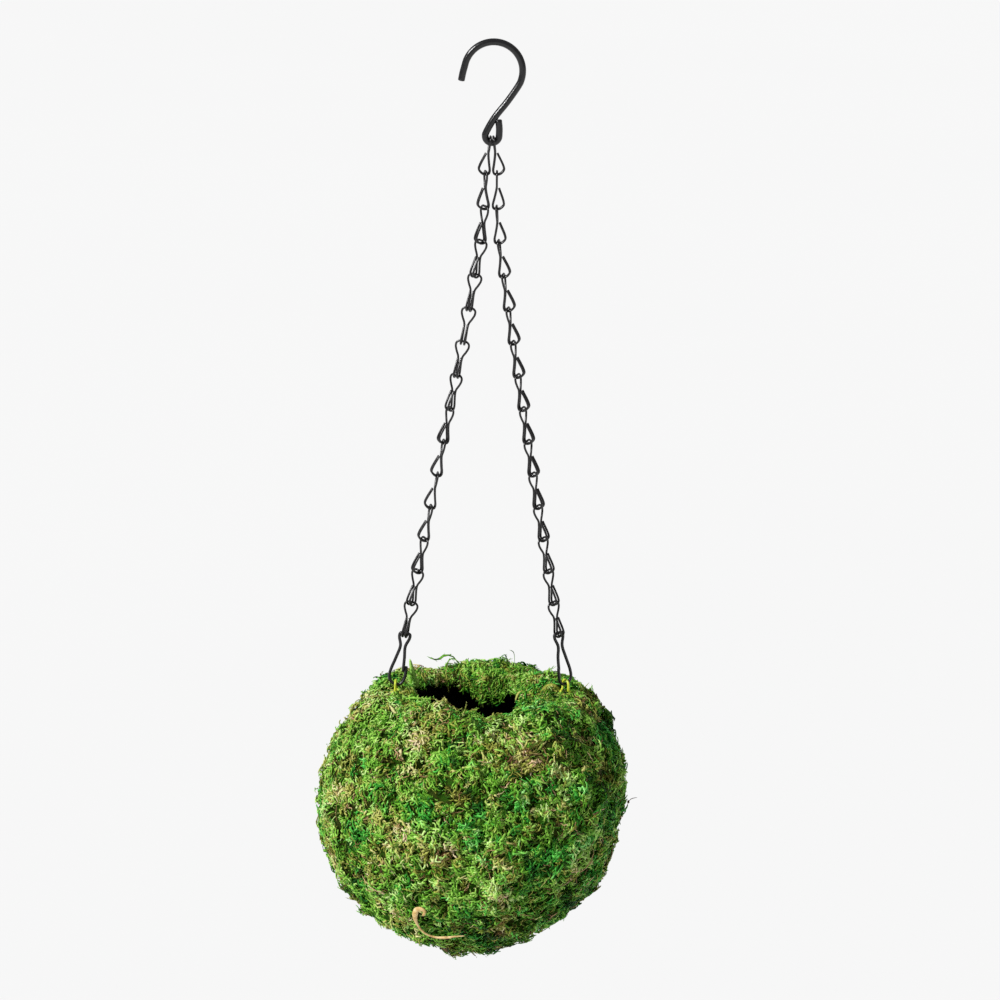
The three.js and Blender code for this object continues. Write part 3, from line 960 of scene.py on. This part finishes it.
def make_stems(bed, material, rng):
    """Longer dead stems and bare shoots that lie over the moss."""
    along, turn = bed.scattered(rng, STEMS)
    roots, normals = bed.at(along, turn)
    keep = clear_of_ties(roots)
    roots, normals = roots[keep], normals[keep]
    count = len(roots)
    lines = strand_lines(
        rng,
        roots,
        normals,
        between(rng, count, 6, 24),
        1.2 * rng.normal(size=count),
        between(rng, count, 1.8, 5.5),
        9,
        rng.uniform(0, 2 * math.pi, count),
    )
    strands, faces, share = skinned(rng, lines, normals, between(rng, count, 0.35, 0.85), flat=0.8)
    tone = 0.46 + 0.2 * rng.normal(size=count)[:, None] + 0.2 * (share[None] - 0.5)
    strand_piece("moss_stems", [(strands, faces, tone, rng.uniform(0, 1, count))], material)


def make_sprigs(bed, material, rng):
    """Feathery shoots that stand out of the ball and break its outline, and more of them on the crest."""
    along, turn = bed.scattered(rng, SPRIGS)
    crest = bed.crest_row / (len(bed.profile) - 1)
    along = np.concatenate([along, crest + 0.02 * rng.normal(size=CREST_SPRIGS)])
    turn = np.concatenate([turn, rng.uniform(0, 2 * math.pi, CREST_SPRIGS)])
    roots, normals = bed.at(along, turn)
    keep = from_tie(roots) > 13 * MM
    roots, normals = roots[keep], normals[keep]
    count = len(roots)
    lines = strand_lines(
        rng,
        roots,
        unit(normals + 0.3 * rng.normal(size=(count, 3))),
        between(rng, count, 5, 13),
        1.6 * rng.normal(size=count),
        between(rng, count, 1.5, 7.5),
        6,
        rng.uniform(0, 2 * math.pi, count),
    )
    tone = 0.55 + 0.17 * rng.normal(size=count)
    hue = 0.38 + 0.17 * rng.normal(size=count)
    width = between(rng, count, 0.6, 1.2)
    groups = sprig_groups(rng, lines, normals, width, between(rng, count, 1.8, 4.0), tone, hue)
    strand_piece("moss_sprigs", groups, material)


# The few shoots that are seen one by one, in millimetres from the ball's centre. Each has its points,
# its stem's width, the length of its leaves, its tone and its hue.
SHOOTS = [
    # arches over the back of the mouth
    (
        [(-33, 50, 80.5), (-28, 51, 77.6), (-24, 52, 77.6), (-20, 52, 80.4), (-15, 52, 79.2), (-11, 50, 74)],
        1.7, 2.6, 0.42, 0.3,
    ),
    ([(-21, 50, 71), (-19, 51, 75), (-17, 51, 78), (-13, 50, 77.5), (-10, 50, 73)], 1.4, 3.4, 0.6, 0.3),
    # stands just right of the left clip
    ([(-41.5, 12, 71), (-43, 11, 76), (-44.8, 10, 80.5), (-45.4, 9, 84)], 1.6, 4.2, 0.78, 0.2),
    ([(-40, 12, 70), (-42, 12, 76), (-44, 11, 82)], 2.4, 4.0, 0.7, 0.26),
    ([(-43, 13, 70), (-44.5, 13, 75), (-46, 12, 80)], 2.2, 3.6, 0.66, 0.3),
    # a thin curl at the back right
    ([(21.5, 50, 84.6), (24.5, 51, 83), (25.6, 51, 79), (25, 50, 73)], 0.55, 0.5, 0.35, 0.5),
    ([(64, 8, 68), (68, 6, 73), (71, 5, 77)], 0.5, 0.5, 0.5, 0.6),
    # lies out over the mouth at the left
    ([(-52, -20, 73.5), (-45, -23, 76), (-38, -24, 75.6), (-32, -25, 76.6)], 1.9, 3.4, 0.62, 0.36),
    # feathery, in the right of the mouth
    ([(40, 31, 72), (34, 29, 73), (29, 27, 71), (23, 24, 67)], 1.2, 4.6, 0.74, 0.25),
    ([(36, 26, 69), (31, 24, 70), (27, 21, 67)], 1.0, 3.6, 0.66, 0.3),
    ([(30, 22, 66), (26.5, 20, 64.5), (24, 18, 59)], 1.8, 1.5, 0.7, 0.72),
    # pale arcs on the front right lip
    ([(17, -47, 72), (20, -46, 75.5), (25, -45, 76.4), (30, -46, 75), (34, -48, 72)], 1.3, 1.6, 0.8, 0.5),
    ([(22, -49, 71), (27, -48, 74.5), (33, -48, 74), (38, -49, 71)], 1.2, 1.8, 0.72, 0.45),
    # a tuft on the front lip
    ([(-21, -49, 71), (-19, -48, 74.5), (-15.5, -47, 77)], 1.0, 3.6, 0.6, 0.62),
    ([(-15, -49, 70), (-13, -47, 76), (-12, -46, 80)], 1.1, 3.4, 0.68, 0.64),
    ([(-10, -48, 71), (-8, -47, 74.5), (-5.5, -46, 76.5)], 1.0, 3.8, 0.56, 0.6),
    ([(-18, -50, 70), (-13, -49, 74), (-8, -49, 74.5), (-4, -49, 72)], 1.0, 3.6, 0.6, 0.55),
    # hang below the ball
    ([(-20, -28, -91), (-21, -27, -96), (-19, -26, -100)], 1.2, 3.6, 0.66, 0.3),
    ([(-16, -28, -91), (-15.5, -27, -97), (-15, -26, -102.5)], 1.1, 3.2, 0.72, 0.3),
    ([(-12, -28, -91), (-11, -27, -96), (-9, -26, -99)], 1.0, 3.4, 0.6, 0.35),
    ([(-6, -27, -92), (-4, -26, -98), (-1, -25, -101.5)], 0.9, 1.6, 0.34, 0.9),
    ([(13, -26, -92), (9, -25, -98), (5.5, -25, -101.5)], 0.9, 1.8, 0.45, 0.55),
    # stand out at the lower right
    ([(61, -12, -62), (65, -11, -67), (66, -10, -71.5)], 0.9, 2.6, 0.6, 0.35),
    ([(72, -12, -52), (77, -10, -52), (81, -9, -49)], 1.5, 2.2, 0.26, 0.9),
    ([(49, -12, -71), (54, -11, -76), (57, -10, -82)], 1.4, 3.0, 0.5, 0.35),
]
STANDING_LEAF = [(-41, 12, 70), (-42.6, 11, 78), (-44.6, 10, 86), (-45.8, 9, 92)]
ARCHED_LEAF = [(39, 6, 67), (42, 4, 73), (46, 2, 75.8), (50, 1, 74), (53, 1, 69)]
BENT_STEM = [
    (36, -12, -80),
    (41, -11, -85.5),
    (46, -10, -86.6),
    (51, -10, -84.6),
    (56, -10, -80),
    (57, -11, -75),
]
TWIG = [(88, -12, -22), (91, -10, -14), (93.5, -10, -7), (96.5, -10, -3), (97, -10, 0)]
TWIG_TIP = [(97, -10, 0), (99, -10, 2), (103, -10, 3)]
HUSK = [
    (-39.5, -82.5, -49),
    (-38.5, -83.5, -46.6),
    (-40.5, -83.5, -44.8),
    (-43.5, -82, -45.6),
    (-44.8, -80.5, -49.5),
    (-43.2, -76.5, -57),
    (-37.5, -73.5, -65),
    (-31, -73, -68),
    (-24.5, -76, -67.2),
    (-19, -79, -65),
    (-12.5, -82, -63),
]
# how far along the husk, as a share of its length, and half its width there
HUSK_HALF_WIDTHS = [
    (0, 0.7),
    (0.1, 1.7),
    (0.22, 1.9),
    (0.34, 1.1),
    (0.46, 0.75),
    (0.62, 0.95),
    (0.76, 1.2),
    (1, 0.15),
]


def line_through(points, count):
    return resampled(curve_through(np.array(points, float) * MM, 8), count)[None]


def make_shoots(green, brown, rng):
    """The shoots, leaves and twigs that can be told apart."""
    groups = []
    for points, width, leaf, tone, hue in SHOOTS:
        lines = line_through(points, 9)
        normals = unit(lines[:, 4] * [1, 1, 0.4] + 0.2 * rng.normal(size=(1, 3)))
        size = np.array([width]) * MM, np.array([leaf]) * MM
        groups += sprig_groups(rng, lines, normals, *size, np.array([tone]), np.array([hue]))
    viewer = np.array([[0, -1.0, 0.2]])
    for points, width, tone, hue in [(STANDING_LEAF, 2.7, 0.74, 0.24), (ARCHED_LEAF, 2.4, 0.44, 0.85)]:
        line = line_through(points, 12)
        blade, faces, share = skinned(rng, line, viewer, np.array([width * MM]), flat=0.2)
        groups.append((blade, faces, tone + 0.25 * (share[None] - 0.5), np.array([hue])))
    strand_piece("moss_shoots", groups, green)
    groups = []
    for points, width in [(BENT_STEM, 1.3), (TWIG, 0.75), (TWIG_TIP, 0.45)]:
        stem, faces, share = skinned(rng, line_through(points, 14), viewer, np.array([width * MM]), flat=0.9)
        groups.append((stem, faces, 0.02 + 0.12 * share[None], np.array([0.1])))
    knob = np.array([[(97, -10, -1.5), (97, -10, -0.7), (97, -10, 0.3), (97.2, -10, 1.2)]]) * MM
    ball, faces, share = skinned(rng, knob, viewer, np.array([1.5 * MM]), flat=1.0)
    groups.append((ball, faces, 0.1 + 0 * share[None], np.array([0.1])))
    strand_piece("moss_twigs", groups, brown)


def make_husk(material):
    """A dry tan strip at the lower left, curled over at one end: a ribbon with a rolled edge."""
    line = resampled(curve_through(np.array(HUSK, float) * MM, 6), 70)
    share = np.linspace(0, 1, len(line))
    half = np.interp(share, *np.transpose(HUSK_HALF_WIDTHS)) * MM
    tangents = unit(np.gradient(line, axis=0))
    outward = unit(line)
    across = unit(np.cross(tangents, outward))
    up = np.cross(across, tangents)
    section = np.radians(np.linspace(-100, 100, 9))
    cupped = [across * math.sin(a) - up * 0.6 * (1 - math.cos(a)) for a in section]
    outer = line[:, None] + np.stack(cupped, 1) * half[:, None, None]
    inner = outer - up[:, None] * 0.3 * MM
    ring = np.concatenate([outer, inner[:, ::-1]], 1)
    vertices = np.vstack([ring.reshape(-1, 3), ring[0].mean(0), ring[-1].mean(0)]) + BALL
    mesh_piece("moss_husk", vertices, capped_rows(len(line), ring.shape[1]), material, "basket")


# ---- stage ----

FLOOR_Z = -1.6
FLOOR_REACH = 30.0
BACKDROP = 0.93
FILL_LIGHT = 0.36
KEY_LIGHT = 4.32
KEY_SOFTNESS = 14
KEY_TOWARD = (1.0, 0.55, -0.82)


def make_stage():
    """A wide pale floor, far below the basket."""
    cuts = 24
    side = np.linspace(-FLOOR_REACH, FLOOR_REACH, cuts + 1)
    grid = np.array([(x, y, FLOOR_Z) for y in side for x in side])
    index = np.arange((cuts + 1) ** 2).reshape(cuts + 1, cuts + 1)
    quads = np.stack([index[:-1, :-1], index[:-1, 1:], index[1:, 1:], index[1:, :-1]], -1).reshape(-1, 4)
    mesh = bpy.data.meshes.new("studio_floor")
    mesh.from_pydata(grid.tolist(), [], quads.tolist())
    material, nodes, links, shader = new_material("studio_floor_paint")
    stops = [(0.3, (0.80, 0.80, 0.80)), (0.7, (0.805, 0.805, 0.805))]
    faint = ramp(nodes, links, noise(nodes, links, 0.4), stops)
    links.new(faint, shader.inputs["Base Color"])
    shader.inputs["Roughness"].default_value = 1.0
    shader.inputs["Specular IOR Level"].default_value = 0.0
    mesh.materials.append(material)
    floor = bpy.data.objects.new("studio_floor", mesh)
    bpy.context.scene.collection.objects.link(floor)


def make_lights():
    """An even studio with a backdrop of its own brightness, and a broad key light from the upper left."""
    world = bpy.data.worlds.new("studio")
    bpy.context.scene.world = world
    world.use_nodes = True
    nodes, links = world.node_tree.nodes, world.node_tree.links
    background = nodes["Background"]
    path = nodes.new("ShaderNodeLightPath")
    strength = nodes.new("ShaderNodeMapRange")
    strength.inputs["To Min"].default_value = FILL_LIGHT
    strength.inputs["To Max"].default_value = BACKDROP
    links.new(path.outputs["Is Camera Ray"], strength.inputs["Value"])
    links.new(strength.outputs["Result"], background.inputs["Strength"])
    background.inputs["Color"].default_value = (1, 1, 1, 1)
    sun = bpy.data.lights.new("key", "SUN")
    sun.energy = KEY_LIGHT
    sun.angle = math.radians(KEY_SOFTNESS)
    lamp = bpy.data.objects.new("key", sun)
    lamp.rotation_mode = "QUATERNION"
    lamp.rotation_quaternion = Vector(KEY_TOWARD).to_track_quat("-Z", "Y")
    bpy.context.scene.collection.objects.link(lamp)


# ---- camera ----

CAMERA_AZIMUTH = -4.0
CAMERA_DISTANCE = 2.004
CAMERA_HEIGHT = 0.254
CAMERA_PITCH = -15.15
CAMERA_YAW = -0.279
CAMERA_ROLL = 1.25
LENS = 117.5
SENSOR = 36


def make_camera():
    data = bpy.data.cameras.new("camera")
    data.sensor_width = SENSOR
    data.lens = LENS
    camera = bpy.data.objects.new("camera", data)
    azimuth = math.radians(CAMERA_AZIMUTH)
    away = Vector((math.sin(azimuth), -math.cos(azimuth), 0))
    place = CAMERA_DISTANCE * away + Vector((0, 0, CAMERA_HEIGHT))
    heading = math.radians(CAMERA_AZIMUTH + CAMERA_YAW)
    turn = Matrix.Rotation(heading, 4, "Z")
    tilt = Matrix.Rotation(math.radians(90 + CAMERA_PITCH), 4, "X")
    roll = Matrix.Rotation(math.radians(CAMERA_ROLL), 4, "Z")
    camera.matrix_world = Matrix.Translation(place) @ turn @ tilt @ roll
    bpy.context.scene.collection.objects.link(camera)
    bpy.context.scene.camera = camera


# ---- assembly ----

make_camera()
make_stage()
make_lights()
bpy.context.scene.view_settings.view_transform = "Standard"

rng = np.random.default_rng(SEED)
make_hook(enamel("hook_enamel", (0.007, 0.007, 0.008), 0.17, 0.70))
chain = enamel("chain_enamel", (0.007, 0.006, 0.007), 0.24, 0.66)
for side in (-1, 1):
    make_strand(side, chain)
clip_enamel = enamel("clip_enamel", (0.008, 0.007, 0.009), 0.26, 0.68)
coating = coated_wire()
for side in (-1, 1):
    make_clip(side, clip_enamel)
    make_tie(side, coating)
frame_wire = enamel("frame_wire_enamel", (0.012, 0.02, 0.014), 0.45, 0.62)
frame["nodes"]["wire_frame"].material_slots[0].material = frame_wire
make_liner(liner_film(), rng)
bed = MossBed(rng)
make_moss_bed(bed, moss_bed())
green_moss = moss_strands("moss_green", [(0, TEAL), (0.2, GREEN), (0.6, OLIVE), (0.95, STRAW)])
stem_moss = moss_strands("moss_stem", [(0, STRAW), (0.5, OLIVE)])
make_moss(bed, green_moss, rng)
make_mouth_fringe(bed, green_moss, rng)
make_tie_collars(green_moss, rng)
make_stems(bed, stem_moss, rng)
make_sprigs(bed, green_moss, rng)
make_shoots(green_moss, stem_moss, rng)
make_husk(husk_skin())
